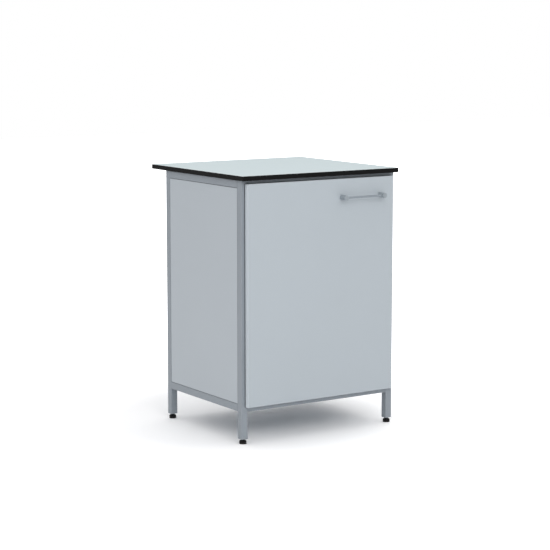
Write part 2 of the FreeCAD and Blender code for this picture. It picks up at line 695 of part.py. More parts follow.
def build_handle():
    """Two posts, the bar between them, and the screws through the door."""
    reach = "handle_projection - handle_bar_setback"
    entry = "handle_post_radius - handle_bar_entry"
    for name, across, height in handle_post_places():
        at = (f"door_left + {across}", "door_back - door_thickness", f"door_bottom + {height}")
        post = turned("handle_post_" + name, [
            ("handle_screw_radius + slip_fit", "0"), ("handle_post_radius", "0"),
            ("handle_post_radius", "handle_projection - handle_post_rounding"),
            ("handle_post_radius - handle_post_rounding", "handle_projection"),
            ("0", "handle_projection"), ("0", "handle_screw_depth + edge_bevel"),
            ("handle_screw_radius + slip_fit", "handle_screw_depth + edge_bevel")], at, FACING_FRONT)
        inward = 1 if name == "far" else -1
        seat = new_sketch(post, "YZ_Plane", f"{inward} * ({entry})")
        circle(seat, "0", reach, "handle_bar_radius + slip_fit")
        pocket(post, seat, "handle_post_radius", flip=inward > 0)
        keep(post)
    _, across, height = handle_post_places()[0]
    start = f"door_left + {across} + {entry} + slip_fit"
    along = f"door_back - door_thickness - ({reach})"
    length = f"handle_spacing - 2 * ({entry} + slip_fit)"
    keep(turned("handle_bar", [
        ("0", "0"), ("handle_bar_radius", "0"), ("handle_bar_radius", length), ("0", length)],
        (start, along, f"door_bottom + {height}"), FACING_RIGHT))
    screw = turned("handle_screw", [
        ("0", "-screw_head_height"), ("handle_head_radius", "-screw_head_height"),
        ("handle_head_radius", "0"), ("handle_screw_radius", "0"),
        ("handle_screw_radius", "door_thickness + handle_screw_depth"),
        ("0", "door_thickness + handle_screw_depth")])
    copies = []
    for _, across, height in handle_post_places():
        at = (f"door_left + {across}", "door_back", f"door_bottom + {height}")
        copies.append((screw, at, FACING_FRONT))
    keep(group("handle_screws", copies))


# Hinges: a pair of concealed cup hinges, each a linkage of four pins. In the pieces' own frame
# X is right of the frame's hinged side, Y behind its front, and Z from the hinge's middle.

OUTER_ARM_PIN = ("tube_size + outer_pin_reach", "outer_pin_depth")
INNER_ARM_PIN = ("tube_size + inner_pin_reach", "inner_pin_depth")
OUTER_CUP_PIN = ("cup_across + outer_cup_offset", "-(door_gap + outer_cup_depth)")
INNER_CUP_PIN = ("cup_across + inner_cup_offset", "-(door_gap + inner_cup_depth)")
OPEN_EYE = (INNER_CUP_PIN[0] + " + eye_offset_across", INNER_CUP_PIN[1] + " + eye_offset_along")
ARM_KNEE = ("tube_size + arm_knee_reach", "arm_knee_depth")
HINGE_HEIGHTS = ("hinge_low", "hinge_high")
# The outer link's bridge lies between these shares of the way from arm pin to cup pin.
BRIDGE_START = 0.15
BRIDGE_END = 0.6


def hinge_pair(label, pattern, turn=UPRIGHT, offset=("0", "0", "0")):
    """A copy of a pattern at each hinge, moved in the hinge's own frame by offset."""
    copies = []
    for height in HINGE_HEIGHTS:
        at = (f"{offset[0]} - frame_side", f"frame_front + {offset[1]}", f"{height} + {offset[2]}")
        copies.append((pattern, at, turn))
    keep(group(label, copies))


def between(start, end, share):
    """The point a share of the way from one pair of expressions to another."""
    return tuple(f"({a}) + {share} * (({b}) - ({a}))" for a, b in zip(start, end))


def build_hinge_cups():
    """The cups, each with rim, wings and the holes for its pins and screws."""
    cup = new_body("hinge_cup")
    rim = new_sketch(cup, "XY_Plane")
    circle(rim, "0", "0", "cup_radius + cup_rim")
    pad(cup, rim, "wing_thickness")
    wings = new_sketch(cup, "XY_Plane")
    slot(wings, ("0", "-wing_reach"), ("0", "wing_reach"), "wing_radius")
    pad(cup, wings, "wing_thickness")
    barrel = new_sketch(cup, "XY_Plane")
    circle(barrel, "0", "0", "cup_radius")
    pad(cup, barrel, "cup_depth", flip=True)
    well = new_sketch(cup, "XY_Plane", "wing_thickness")
    circle(well, "0", "0", "cup_radius - cup_wall")
    pocket(cup, well, "wing_thickness + cup_depth - cup_wall")
    soften(cup, "Chamfer", "cup_lip", lies_at("wing_thickness"))
    screws = new_sketch(cup, "XY_Plane")
    for reach in ("-wing_reach", "wing_reach"):
        circle(screws, "0", reach, "screw_hole_radius")
    pocket(cup, screws, "wing_thickness", flip=True)
    pins = new_sketch(cup, "XZ_Plane")
    circle(pins, "outer_cup_offset", "-outer_cup_depth", "pin_bore")
    circle(pins, "inner_cup_offset", "-inner_cup_depth", "pin_bore")
    pocket(cup, pins, "2 * cup_radius", both_ways=True)
    hinge_pair("hinge_cups", cup, FACING_BACK, ("cup_across", "-door_gap", "0"))
    screw = board_screw("cup_screw", "cup_screw_head", "cup_screw_length")
    copies = []
    for height in HINGE_HEIGHTS:
        for side in "-+":
            at = ("cup_across - frame_side", "door_back + wing_thickness",
                  f"{height} {side} wing_reach")
            copies.append((screw, at, FACING_FRONT))
    keep(group("hinge_cup_screws", copies))


def build_hinge_links():
    """The outer links, of two cheeks and a bridge, and the inner links with their open eyes."""
    outer = new_body("outer_link")
    blank = new_sketch(outer, "XY_Plane")
    slot(blank, OUTER_ARM_PIN, OUTER_CUP_PIN, "link_radius")
    pad(outer, blank, "2 * cheek_outside", both_ways=True)
    for end, share in ((OUTER_ARM_PIN, BRIDGE_START), (OUTER_CUP_PIN, BRIDGE_END)):
        space = new_sketch(outer, "XY_Plane")
        inward = between(OUTER_ARM_PIN, OUTER_CUP_PIN, share)
        slot(space, inward, end, "link_radius + layer_gap")
        pocket(outer, space, "2 * cheek_inside", both_ways=True)
    bores = new_sketch(outer, "XY_Plane")
    for pin in (OUTER_ARM_PIN, OUTER_CUP_PIN):
        circle(bores, *pin, "pin_bore")
    pocket(outer, bores, "2 * cheek_outside", both_ways=True)
    hinge_pair("outer_links", outer)
    inner = new_body("inner_link")
    blank = new_sketch(inner, "XY_Plane")
    slot(blank, INNER_ARM_PIN, INNER_CUP_PIN, "link_radius")
    pad(inner, blank, "2 * inner_link_half", both_ways=True)
    ring = new_sketch(inner, "XY_Plane")
    circle(ring, *OPEN_EYE, "eye_radius + eye_wall")
    pad(inner, ring, "2 * inner_link_half", both_ways=True)
    bores = new_sketch(inner, "XY_Plane")
    circle(bores, *INNER_ARM_PIN, "pin_bore")
    circle(bores, *OPEN_EYE, "eye_radius")
    pocket(inner, bores, "2 * inner_link_half", both_ways=True)
    hinge_pair("inner_links", inner)


def build_hinge_arms():
    """The arms: two cheeks that carry the links, on a web that lies on the mounting plate."""
    arm = new_body("hinge_arm")
    for pin in (OUTER_ARM_PIN, INNER_ARM_PIN):
        neck = new_sketch(arm, "XY_Plane")
        slot(neck, pin, ARM_KNEE, "arm_neck")
        pad(arm, neck, "2 * arm_half", both_ways=True)
    foot = "tube_size + plate_thickness"
    back = "plate_inset + plate_width"
    base = new_sketch(arm, "XY_Plane")
    rectangle(base, foot, "arm_depth", f"{foot} + arm_height", back)
    pad(arm, base, "2 * arm_half", both_ways=True)
    hollow = new_sketch(arm, "XY_Plane")
    edge = "cup_across + cup_radius"
    polygon(hollow, [("0", "-door_gap - cup_depth"), (edge, "-door_gap - cup_depth"),
                     (edge, back), (f"{foot} + arm_web", back),
                     (f"{foot} + arm_web", "arm_depth"), ("0", "arm_depth")])
    pocket(arm, hollow, "2 * arm_inside", both_ways=True)
    bores = new_sketch(arm, "XY_Plane")
    for pin in (OUTER_ARM_PIN, INNER_ARM_PIN):
        circle(bores, *pin, "pin_bore")
    pocket(arm, bores, "2 * arm_half", both_ways=True)
    fixing = new_sketch(arm, "YZ_Plane", foot)
    circle(fixing, "plate_inset + plate_width / 2", "0", "screw_hole_radius")
    pocket(arm, fixing, "arm_web", flip=True)
    hinge_pair("hinge_arms", arm)


def build_hinge_plates():
    """The mounting plates on the leg's inner face, and their screws."""
    plate = new_body("hinge_plate")
    blank = new_sketch(plate, "YZ_Plane", "tube_size")
    middle = "plate_inset + plate_width / 2"
    end = "plate_reach - plate_width / 2"
    slot(blank, (middle, f"-({end})"), (middle, end), "plate_width / 2")
    pad(plate, blank, "plate_thickness")
    bores = new_sketch(plate, "YZ_Plane", "tube_size")
    for reach in ("-plate_screw_reach", "0", "plate_screw_reach"):
        circle(bores, middle, reach, "screw_hole_radius")
    pocket(plate, bores, "plate_thickness", flip=True)
    hinge_pair("hinge_plates", plate)
    fixing = board_screw("plate_screw", "screw_head_height", "plate_screw_length")
    short = board_screw("arm_screw", "screw_head_height", "arm_web + plate_thickness")
    copies = []
    for height in HINGE_HEIGHTS:
        along = f"frame_front + {middle}"
        face = "tube_size + plate_thickness - frame_side"
        for side in "-+":
            copies.append((fixing, (face, along, f"{height} {side} plate_screw_reach"), FACING_LEFT))
        copies.append((short, (f"{face} + arm_web", along, height), FACING_LEFT))
    keep(group("hinge_plate_screws", copies))


def hinge_pin(label, low, high, head):
    """A pin from low to high along its axis, with a head past its upper end where asked."""
    profile = [("0", low), ("pin_radius", low), ("pin_radius", high)]
    if head:
        top = f"{high} + pin_head_height"
        profile += [("pin_head_radius", high), ("pin_head_radius", top), ("0", top)]
    else:
        profile.append(("0", high))
    return turned(label, profile)


def build_hinge_pins():
    """Rivets and through pins: those that the arms hold, and those that the cups hold."""
    arm_rivet = hinge_pin("arm_rivet", "cheek_inside", "arm_half", True)
    arm_pin = hinge_pin("arm_pin", "-arm_half", "arm_half", True)
    cup_rivet = hinge_pin("cup_rivet", "cheek_inside", "cup_rivet_end", False)
    cup_pin = hinge_pin("cup_pin", "-cup_pin_end", "cup_pin_end", False)
    over = Rotation(Vector(1, 0, 0), 180)
    for label, rivet, rivet_at, pin, pin_at in (
            ("hinge_arm_pins", arm_rivet, OUTER_ARM_PIN, arm_pin, INNER_ARM_PIN),
            ("hinge_cup_pins", cup_rivet, OUTER_CUP_PIN, cup_pin, INNER_CUP_PIN)):
        copies = []
        for height in HINGE_HEIGHTS:
            at = (f"{rivet_at[0]} - frame_side", f"frame_front + {rivet_at[1]}", height)
            copies += [(rivet, at, UPRIGHT), (rivet, at, over)]
            at = (f"{pin_at[0]} - frame_side", f"frame_front + {pin_at[1]}", height)
            copies.append((pin, at, UPRIGHT))
        keep(group(label, copies))


def build_buffers():
    """Two soft buffers on the door's back that meet the frame when the door shuts."""
    thick = "door_gap - buffer_gap"
    buffer = turned("buffer", [
        ("0", "0"), ("buffer_radius", "0"), ("buffer_radius", f"{thick} - edge_bevel"),
        ("buffer_radius - edge_bevel", thick), ("0", thick)])
    across = "frame_side - (tube_size + door_inset) / 2"
    copies = []
    for height in ("door_bottom + buffer_inset", "door_bottom + door_height - buffer_inset"):
        copies.append((buffer, (across, "door_back", height), FACING_BACK))
    keep(group("door_buffers", copies))


def write_parts():
    """Check every object and every sub-part's shape, then write one file for each sub-part."""
    doc.recompute()
    for item in doc.Objects:
        if "Invalid" in item.State or "Error" in item.State:
            raise ValueError(f"{item.Name} could not be worked out")
    for label, item in PARTS.items():
        if item.Shape.isNull() or not item.Shape.isValid() or not item.Shape.Solids:
            raise ValueError(f"{label} has no valid solid")
    os.makedirs("parts", exist_ok=True)
    for label, item in PARTS.items():
        item.Shape.exportStep(f"parts/{label}.step")


build_worktop()
build_frame()
for side_name, side_sign in SIDES:
    build_side_panel(side_name, side_sign)
build_back_panel()
build_bottom_board()
build_shelf()
build_lugs_and_screws()
build_feet()
build_door()
build_handle()
build_hinge_cups()
build_hinge_links()
build_hinge_arms()
build_hinge_plates()
build_hinge_pins()
build_buffers()
write_parts()
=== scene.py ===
"""Laboratory bench cabinet with one door: its finishes, its fastenings, the studio and the camera.

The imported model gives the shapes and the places. This script dresses every solid of it, puts
finer screws and studs in the place of the plain ones, and lights the whole on a pale floor.
All lengths are in metres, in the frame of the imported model.
"""

import logging
import math
from collections import defaultdict
from collections.abc import Iterable, Mapping, Sequence
from dataclasses import dataclass
from enum import Enum
from typing import ClassVar

import bmesh
import bpy
from mathutils import Matrix, Vector


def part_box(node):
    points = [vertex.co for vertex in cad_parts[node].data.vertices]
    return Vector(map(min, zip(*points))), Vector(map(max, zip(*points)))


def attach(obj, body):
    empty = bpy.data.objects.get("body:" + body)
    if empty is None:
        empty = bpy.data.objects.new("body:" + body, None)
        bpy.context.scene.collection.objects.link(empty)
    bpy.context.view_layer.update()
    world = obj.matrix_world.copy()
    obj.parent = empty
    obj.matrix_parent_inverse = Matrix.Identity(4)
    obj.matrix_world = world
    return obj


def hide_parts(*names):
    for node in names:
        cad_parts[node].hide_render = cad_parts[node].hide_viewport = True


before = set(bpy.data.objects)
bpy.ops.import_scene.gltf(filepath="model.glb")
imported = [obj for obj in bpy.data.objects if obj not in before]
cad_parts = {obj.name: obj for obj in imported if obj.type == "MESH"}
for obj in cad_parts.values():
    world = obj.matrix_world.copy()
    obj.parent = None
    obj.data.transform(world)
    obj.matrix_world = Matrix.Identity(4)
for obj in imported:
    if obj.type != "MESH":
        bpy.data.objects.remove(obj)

LOG = logging.getLogger("bench")
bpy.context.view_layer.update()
MM = 0.001

Colour = tuple[float, float, float, float]
Scale = tuple[float, float, float]
Value = object  # a Wire, or what a socket or a node's setting takes

WHITE: Colour = (1.0, 1.0, 1.0, 1.0)
BLACK: Colour = (0.0, 0.0, 0.0, 1.0)
SHADERS = ("BSDF_PRINCIPLED", "BACKGROUND")
SMOOTH_ANGLE = math.radians(35.0)
WELD_DISTANCE = 1e-7


def tint(red: int, green: int, blue: int) -> Colour:
    """Turn a screen colour into the linear one that a shader takes.

    Args:
        red: Red, 0 to 255.
        green: Green, 0 to 255.
        blue: Blue, 0 to 255.

    Returns:
        The linear colour with full opacity.
    """

    def linear(level: int) -> float:
        """Give one channel's linear share."""
        share = level / 255
        return share / 12.92 if share <= 0.04045 else ((share + 0.055) / 1.055) ** 2.4

    return linear(red), linear(green), linear(blue), 1.0


def toned(colour: Colour, factor: float) -> Colour:
    """Make a colour lighter or darker by a factor on its channels."""
    return colour[0] * factor, colour[1] * factor, colour[2] * factor, 1.0


# ---------------------------------------------------------------- node trees


class Wire:
    """A value socket of a node tree. Arithmetic on it adds Math nodes."""

    def __init__(self, graph: "Graph", socket: bpy.types.NodeSocket) -> None:
        """Keep the tree and the socket."""
        self.graph = graph
        self.socket = socket

    def math(self, operation: str, *values: Value) -> "Wire":
        """Add a Math node that works on the given values."""
        return self.graph.node("ShaderNodeMath", {"operation": operation}, dict(enumerate(values)))

    def __add__(self, other: Value) -> "Wire":
        """Add a value or wire."""
        return self.math("ADD", self, other)

    def __radd__(self, other: Value) -> "Wire":
        """Add to a value."""
        return self.math("ADD", other, self)

    def __sub__(self, other: Value) -> "Wire":
        """Take a value or wire away."""
        return self.math("SUBTRACT", self, other)

    def __rsub__(self, other: Value) -> "Wire":
        """Take this wire from a value."""
        return self.math("SUBTRACT", other, self)

    def __mul__(self, other: Value) -> "Wire":
        """Multiply by a value or wire."""
        return self.math("MULTIPLY", self, other)

    def __rmul__(self, other: Value) -> "Wire":
        """Multiply a value."""
        return self.math("MULTIPLY", other, self)

    def __abs__(self) -> "Wire":
        """Drop the sign."""
        return self.math("ABSOLUTE", self)

    def __gt__(self, other: Value) -> "Wire":
        """Give 1 where this is the greater, else 0: the reflected form of less than."""
        return self.math("GREATER_THAN", self, other)

    def __lt__(self, other: Value) -> "Wire":
        """Give 1 where this is the smaller, else 0."""
        return self.math("LESS_THAN", self, other)

    def least(self, other: Value) -> "Wire":
        """Give the smaller of the two."""
        return self.math("MINIMUM", self, other)

    def most(self, other: Value) -> "Wire":
        """Give the larger of the two."""
        return self.math("MAXIMUM", self, other)

    def ramped(self, low: float, high: float) -> "Wire":
        """Rise smoothly from 0 at low to 1 at high."""
        return self.graph.node(
            "ShaderNodeMapRange",
            {"interpolation_type": "SMOOTHSTEP"},
            {"Value": self, "From Min": low, "From Max": high},
        )


class Graph:
    """The node tree of a material or of the sky, with its shader."""

    def __init__(self, owner: bpy.types.Material | bpy.types.World) -> None:
        """Open the tree.

        Args:
            owner: The material or world.
        """
        owner.use_nodes = True
        self.tree = owner.node_tree
        self.shader = next(node for node in self.tree.nodes if node.type in SHADERS)

    def node(
        self,
        kind: str,
        settings: Mapping[str, Value] | None = None,
        inputs: Mapping[int | str, Value] | None = None,
        output: int | str = 0,
    ) -> Wire:
        """Add one node of any type.

        Args:
            kind: The node's type name.
            settings: Its settings, set first.
            inputs: Values or wires by socket name or number.
            output: Which output the wire leaves from.

        Returns:
            The wire from that output.
        """
        made = self.tree.nodes.new(kind)
        for name, value in (settings or {}).items():
            setattr(made, name, value)
        for key, value in (inputs or {}).items():
            self.feed(made.inputs[key], value)
        return Wire(self, made.outputs[output])

    def feed(self, socket: bpy.types.NodeSocket, value: Value) -> None:
        """Link a wire to a socket, or set the socket's own value.

        Args:
            socket: The socket.
            value: The wire or the value.
        """
        if isinstance(value, Wire):
            self.tree.links.new(value.socket, socket)
        else:
            socket.default_value = value

    def surface(self, **values: Value) -> None:
        """Feed the surface shader.

        Args:
            **values: Its sockets by name, with _ for the blank.
        """
        for name, value in values.items():
            self.feed(self.shader.inputs[name.replace("_", " ")], value)

    def place(self) -> Wire:
        """Give the place on the piece, in metres of the object's own frame."""
        return self.node("ShaderNodeTexCoord", output="Object")

    def stretched(self, place: Wire, scale: Scale) -> Wire:
        """Scale a place by axis, for a texture with a direction."""
        return self.node("ShaderNodeMapping", {}, {"Vector": place, "Scale": scale})

    def noise(self, place: Wire, size: float, detail: float = 2.0, rough: float = 0.5) -> Wire:
        """Give soft noise between 0 and 1.

        Args:
            place: Where on the piece.
            size: The size of its grain in metres.
            detail: How many finer layers it has.
            rough: How strong those are.

        Returns:
            The noise value.
        """
        inputs = {"Vector": place, "Scale": 1 / size, "Detail": detail, "Roughness": rough}
        return self.node("ShaderNodeTexNoise", {}, inputs)

    def cells(self, place: Wire, size: float) -> Wire:
        """Give the distance to the nearest cell's middle, for grain and speckle."""
        return self.node("ShaderNodeTexVoronoi", {}, {"Vector": place, "Scale": 1 / size})

    def split(self, place: Wire) -> list[Wire]:
        """Give the three parts of a place.

        Args:
            place: The place.

        Returns:
            Its X, Y and Z.
        """
        first = self.node("ShaderNodeSeparateXYZ", {}, {"Vector": place})
        return [Wire(self, output) for output in first.socket.node.outputs]

    def blend(self, share: Value, first: Value, second: Value) -> Wire:
        """Mix two colours.

        Args:
            share: How much of the second, 0 to 1.
            first: The colour at 0.
            second: The colour at 1.

        Returns:
            The mixed colour.
        """
        inputs = {0: share, 6: first, 7: second}
        return self.node("ShaderNodeMix", {"data_type": "RGBA"}, inputs, output=2)

    def bump(self, height: Wire, depth: float, strength: float, under: Wire | None = None) -> Wire:
        """Turn a height into a normal.

        Args:
            height: The height, 0 to 1.
            depth: What 1 stands for, in metres.
            strength: How much of it shows.
            under: A coarser relief that this one lies on.

        Returns:
            The normal.
        """
        inputs: dict[int | str, Value] = {"Height": height, "Distance": depth, "Strength": strength}
        if under is not None:
            inputs["Normal"] = under
        return self.node("ShaderNodeBump", {}, inputs)


# ------------------------------------------------------------------ finishes


MADE: dict[str, bpy.types.Material] = {}


@dataclass(frozen=True)
class Finish:
    """What every finish has: a name, a slot of the record and a colour."""

    name: str
    slot: str
    colour: Colour

    def dress(self, graph: Graph) -> None:
        """Fill the material's node tree."""
        raise NotImplementedError

    def material(self) -> bpy.types.Material:
        """Give the finish's material, made on first use.

        Returns:
            The material.
        """
        if self.name not in MADE:
            MADE[self.name] = bpy.data.materials.new(self.name)
            MADE[self.name].diffuse_color = self.colour
            self.dress(Graph(MADE[self.name]))
        return MADE[self.name]


@dataclass(frozen=True)
class Outline:
    """The middle and half sizes of a board or a bar."""

    middle: tuple[float, float, float]
    half: tuple[float, float, float]

    @classmethod
    def of(cls, node: str) -> "Outline":
        """Read the outline from a solid."""
        low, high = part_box(node)
        return cls(tuple((low + high) / 2), tuple((high - low) / 2))

    def depths(self, graph: Graph, place: Wire, skipped: int) -> list[Wire]:
        """Give how deep a place lies under two pairs of faces.

        Args:
            graph: The material's tree.
            place: Where on the piece.
            skipped: The axis of the pair that is left out.

        Returns:
            The two depths in metres.
        """
        parts = graph.split(place)
        axes = [axis for axis in range(3) if axis != skipped]
        return [self.half[axis] - abs(parts[axis] - self.middle[axis]) for axis in axes]

    def inward(self, graph: Graph, place: Wire) -> Wire:
        """Give the distance from the nearest edge of a board's face, in metres."""
        one, other = self.depths(graph, place, self.half.index(min(self.half)))
        return one.least(other)

    def ridge(self, graph: Graph, place: Wire) -> Wire:
        """Give the distance from the nearest long edge of a bar, in metres."""
        one, other = self.depths(graph, place, self.half.index(max(self.half)))
        return one.most(other)


@dataclass(frozen=True)
class Laminate(Finish):
    """Pressed laminate: even, with a fine dry grain, a painted highlight along the arris and a dark
    cut edge.
    """

    outline: Outline | None = None
    cut: Colour = (0.01, 0.01, 0.01, 1.0)
    skin: float = 0.0002
    # Colour and width of the painted highlight along the arris.
    painted_arris_highlight: Colour = (0.9, 0.93, 0.95, 1.0)
    highlight_width: float = 0.0014
    grain_size: float = 0.0009
    fleck_size: float = 0.0034
    cloud_size: float = 0.21
    wiping: Scale = (5.0, 46.0, 1.0)
    relief_depth: float = 0.00006
    sheen: float = 0.36

    def dress(self, graph: Graph) -> None:
        """Fill the material's node tree.

        Args:
            graph: The material's tree.
        """
        place = graph.place()
        cloud = graph.noise(place, self.cloud_size, 3.0)
        grain = graph.noise(place, self.grain_size, 3.0, 0.62)
        fleck = 1 - graph.cells(place, self.fleck_size).ramped(0.05, 0.22)
        wiped = graph.noise(graph.stretched(place, self.wiping), 1.0, 4.0, 0.6)
        body = graph.blend(cloud, toned(self.colour, 0.975), toned(self.colour, 1.02))
        body = graph.blend(grain.ramped(0.35, 0.7) * 0.3, body, toned(self.colour, 0.94))
        body = graph.blend(fleck * 0.12, body, toned(self.colour, 1.08))
        if self.outline is not None:
            edge = self.outline.inward(graph, place)
            # Painted highlight: a pale band along the face's outer edge stands in for light caught
            # on the arris.
            highlight_mask = 1 - edge.ramped(0.6 * self.highlight_width, self.highlight_width)
            body = graph.blend(highlight_mask * (0.75 + cloud * 0.25), body, self.painted_arris_highlight)
            top = self.outline.middle[2] + self.outline.half[2]
            body = graph.blend(graph.split(place)[2] < top - self.skin, body, self.cut)
        relief = graph.bump(grain, self.relief_depth, 0.35)
        graph.surface(
            Base_Color=body,
            Roughness=self.sheen + wiped * 0.1 + grain * 0.05,
            Normal=relief,
        )


@dataclass(frozen=True)
class CompactCore(Finish):
    """The cut edge of a compact board's core: dark, in thin layers, faintly streaked."""

    streak: Colour = (0.05, 0.05, 0.05, 1.0)
    layer: float = 0.0011
    layer_run: float = 3.2
    tear_run: float = 38.0
    tears_per_layer: float = 2.2
    sawing: Scale = (900.0, 900.0, 45.0)
    saw_depth: float = 0.00004
    layer_depth: float = 0.00006
    gloss: float = 0.12

    def dress(self, graph: Graph) -> None:
        """Fill the material's node tree.

        Args:
            graph: The material's tree.
        """
        place = graph.place()
        tears = self.tears_per_layer / self.layer
        flat = graph.stretched(place, (self.layer_run, self.layer_run, 1 / self.layer))
        rough = graph.stretched(place, (self.tear_run, self.tear_run, tears))
        layers = graph.noise(flat, 1.0, 3.0, 0.55)
        torn = graph.noise(rough, 1.0, 4.0, 0.65)
        saw = graph.noise(graph.stretched(place, self.sawing), 1.0, 2.0)
        pale = layers.ramped(0.5, 0.72) * torn.ramped(0.4, 0.75)
        body = graph.blend(pale * 0.8, self.colour, self.streak)
        body = graph.blend(saw.ramped(0.55, 0.8) * 0.15, body, self.streak)
        relief = graph.bump(saw, self.saw_depth, 0.3)
        relief = graph.bump(layers, self.layer_depth, 0.35, relief)
        graph.surface(
            Base_Color=body,
            Roughness=0.46 + layers * 0.16,
            Specular_IOR_Level=self.gloss,
            Normal=relief,
        )


@dataclass(frozen=True)
class CoatedBoard(Finish):
    """A board coated with melamine paper, in a pearl texture, with a band on its edges: a plastic
    edge band, or painted shade where a panel meets the frame.
    """

    outline: Outline | None = None
    band_and_gap_shade: Colour = (0.55, 0.6, 0.64, 1.0)
    band_thickness: float = 0.001
    seam: tuple[float, float] = (0.00006, 0.00022)
    seam_depth: float = 0.00008
    pearl_size: float = 0.0011
    pearl_depth: float = 0.00007
    grain_size: float = 0.0006
    grain_depth: float = 0.00003
    cloud_size: float = 0.26
    wiping: Scale = (26.0, 26.0, 5.0)

    def dress(self, graph: Graph) -> None:
        """Fill the material's node tree.

        Args:
            graph: The material's tree.
        """
        place = graph.place()
        cloud = graph.noise(place, self.cloud_size, 3.0)
        pearl = graph.cells(place, self.pearl_size)
        grain = graph.noise(place, self.grain_size, 2.0)
        wiped = graph.noise(graph.stretched(place, self.wiping), 1.0, 4.0, 0.6)
        body = graph.blend(cloud, toned(self.colour, 0.982), toned(self.colour, 1.015))
        body = graph.blend(grain.ramped(0.3, 0.75) * 0.25, body, toned(self.colour, 0.955))
        relief = graph.bump(pearl, self.pearl_depth, 0.22)
        relief = graph.bump(grain, self.grain_depth, 0.2, relief)
        roughness = 0.4 + wiped * 0.1 + pearl * 0.06
        if self.outline is not None:
            edge = self.outline.inward(graph, place)
            # The outer band takes the given colour: a real plastic edge band, or painted shade in
            # the gap round a panel.
            band_and_shade_mask = (edge < self.band_thickness) * (0.8 + cloud * 0.2)
            body = graph.blend(band_and_shade_mask, body, self.band_and_gap_shade)
            line = 1 - abs(edge - self.band_thickness).ramped(*self.seam)
            body = graph.blend(line * 0.55, body, toned(self.colour, 0.55))
            relief = graph.bump(1 - line, self.seam_depth, 0.4, relief)
        graph.surface(Base_Color=body, Roughness=roughness, Normal=relief)


@dataclass(frozen=True)
class PowderCoat(Finish):
    """Baked powder coat: a fine orange peel, thin at the corners, with painted shade along a door's
    edge.
    """

    bar: Outline | None = None
    # Outline of the door whose edge gets painted shade on this tube.
    door: Outline | None = None
    thin_width: float = 0.0009
    door_shade_width: float = 0.0025
    door_shade_spill: float = 0.0016
    peel_size: float = 0.0016
    peel_depth: float = 0.00016
    dust_size: float = 0.006
    cloud_size: float = 0.12
    scuff_reach: tuple[float, float] = (0.02, 0.11)
    scuffing: Scale = (60.0, 60.0, 9.0)
    sheen: float = 0.4

    def dress(self, graph: Graph) -> None:
        """Fill the material's node tree.

        Args:
            graph: The material's tree.
        """
        place = graph.place()
        cloud = graph.noise(place, self.cloud_size, 3.0)
        peel = graph.noise(place, self.peel_size, 2.0, 0.45)
        dust = graph.cells(place, self.dust_size)
        low = 1 - graph.split(place)[2].ramped(*self.scuff_reach)
        rubbed = graph.stretched(place, self.scuffing)
        scuffs = graph.noise(rubbed, 1.0, 5.0, 0.7).ramped(0.58, 0.75)
        body = graph.blend(cloud, toned(self.colour, 0.965), toned(self.colour, 1.03))
        body = graph.blend(peel.ramped(0.4, 0.8) * 0.2, body, toned(self.colour, 1.09))
        body = graph.blend((1 - dust.ramped(0.02, 0.07)) * 0.2, body, toned(self.colour, 0.8))
        body = graph.blend(low * scuffs * 0.35, body, toned(self.colour, 0.78))
        if self.bar is not None:
            corner = self.bar.ridge(graph, place)
            thin = (1 - corner.ramped(0.3 * self.thin_width, self.thin_width)) * cloud
            body = graph.blend(thin * 0.6, body, toned(self.colour, 1.3))
        # Painted shade: a dark line on the frame round the door's outline, behind its edge and a
        # little past it, stands in for the shadow in the gap.
        if self.door is not None:
            under = self.door.inward(graph, place)
            inner = 1 - under.ramped(0.6 * self.door_shade_width, self.door_shade_width)
            outer = under.ramped(-self.door_shade_spill, -0.7 * self.door_shade_spill)
            body = graph.blend(inner * outer * 0.88, body, toned(self.colour, 0.13))
        relief = graph.bump(peel, self.peel_depth, 0.3)
        graph.surface(
            Base_Color=body,
            Roughness=self.sheen + peel * 0.1 + scuffs * low * 0.12,
            Normal=relief,
        )


class Grain(Enum):
    """Which way a metal's fine lines run."""

    ROUND_X = "turned, lines across the X axis"
    ROUND_Y = "turned, lines across the Y axis"
    ALONG_Z = "drawn, lines along the Z axis"
    EVEN = "plated, no direction"


GRAIN_SCALE: dict[Grain, Scale] = {
    Grain.ROUND_X: (5200.0, 60.0, 60.0),
    Grain.ROUND_Y: (60.0, 5200.0, 60.0),
    Grain.ALONG_Z: (1900.0, 1900.0, 14.0),
    Grain.EVEN: (420.0, 420.0, 420.0),
}


@dataclass(frozen=True)
class Metal(Finish):
    """Bare or plated metal with fine tool lines and a slight cloud in its shine."""

    grain: Grain = Grain.EVEN
    shine: float = 0.3
    metallic: float = 1.0
    tarnish: Colour = (0.4, 0.4, 0.38, 1.0)
    cloud_size: float = 0.011
    spot_size: float = 0.0021
    line_depth: float = 0.00003
    line_strength: float = 0.25

    def dress(self, graph: Graph) -> None:
        """Fill the material's node tree.

        Args:
            graph: The material's tree.
        """
        place = graph.place()
        lines = graph.noise(graph.stretched(place, GRAIN_SCALE[self.grain]), 1.0, 3.0, 0.55)
        cloud = graph.noise(place, self.cloud_size, 4.0, 0.6)
        spots = 1 - graph.cells(place, self.spot_size).ramped(0.04, 0.16)
        body = graph.blend(cloud.ramped(0.35, 0.8) * 0.35, self.colour, self.tarnish)
        body = graph.blend(lines.ramped(0.35, 0.75) * 0.25, body, toned(self.colour, 1.12))
        relief = graph.bump(lines, self.line_depth, self.line_strength)
        graph.surface(
            Base_Color=body,
            Metallic=self.metallic,
            Roughness=self.shine + cloud * 0.12 + lines * 0.08 + spots * 0.06,
            Normal=relief,
        )


ZINC = Metal("zinc_plate", "zinc_steel", tint(196, 200, 205), tarnish=tint(150, 152, 150))


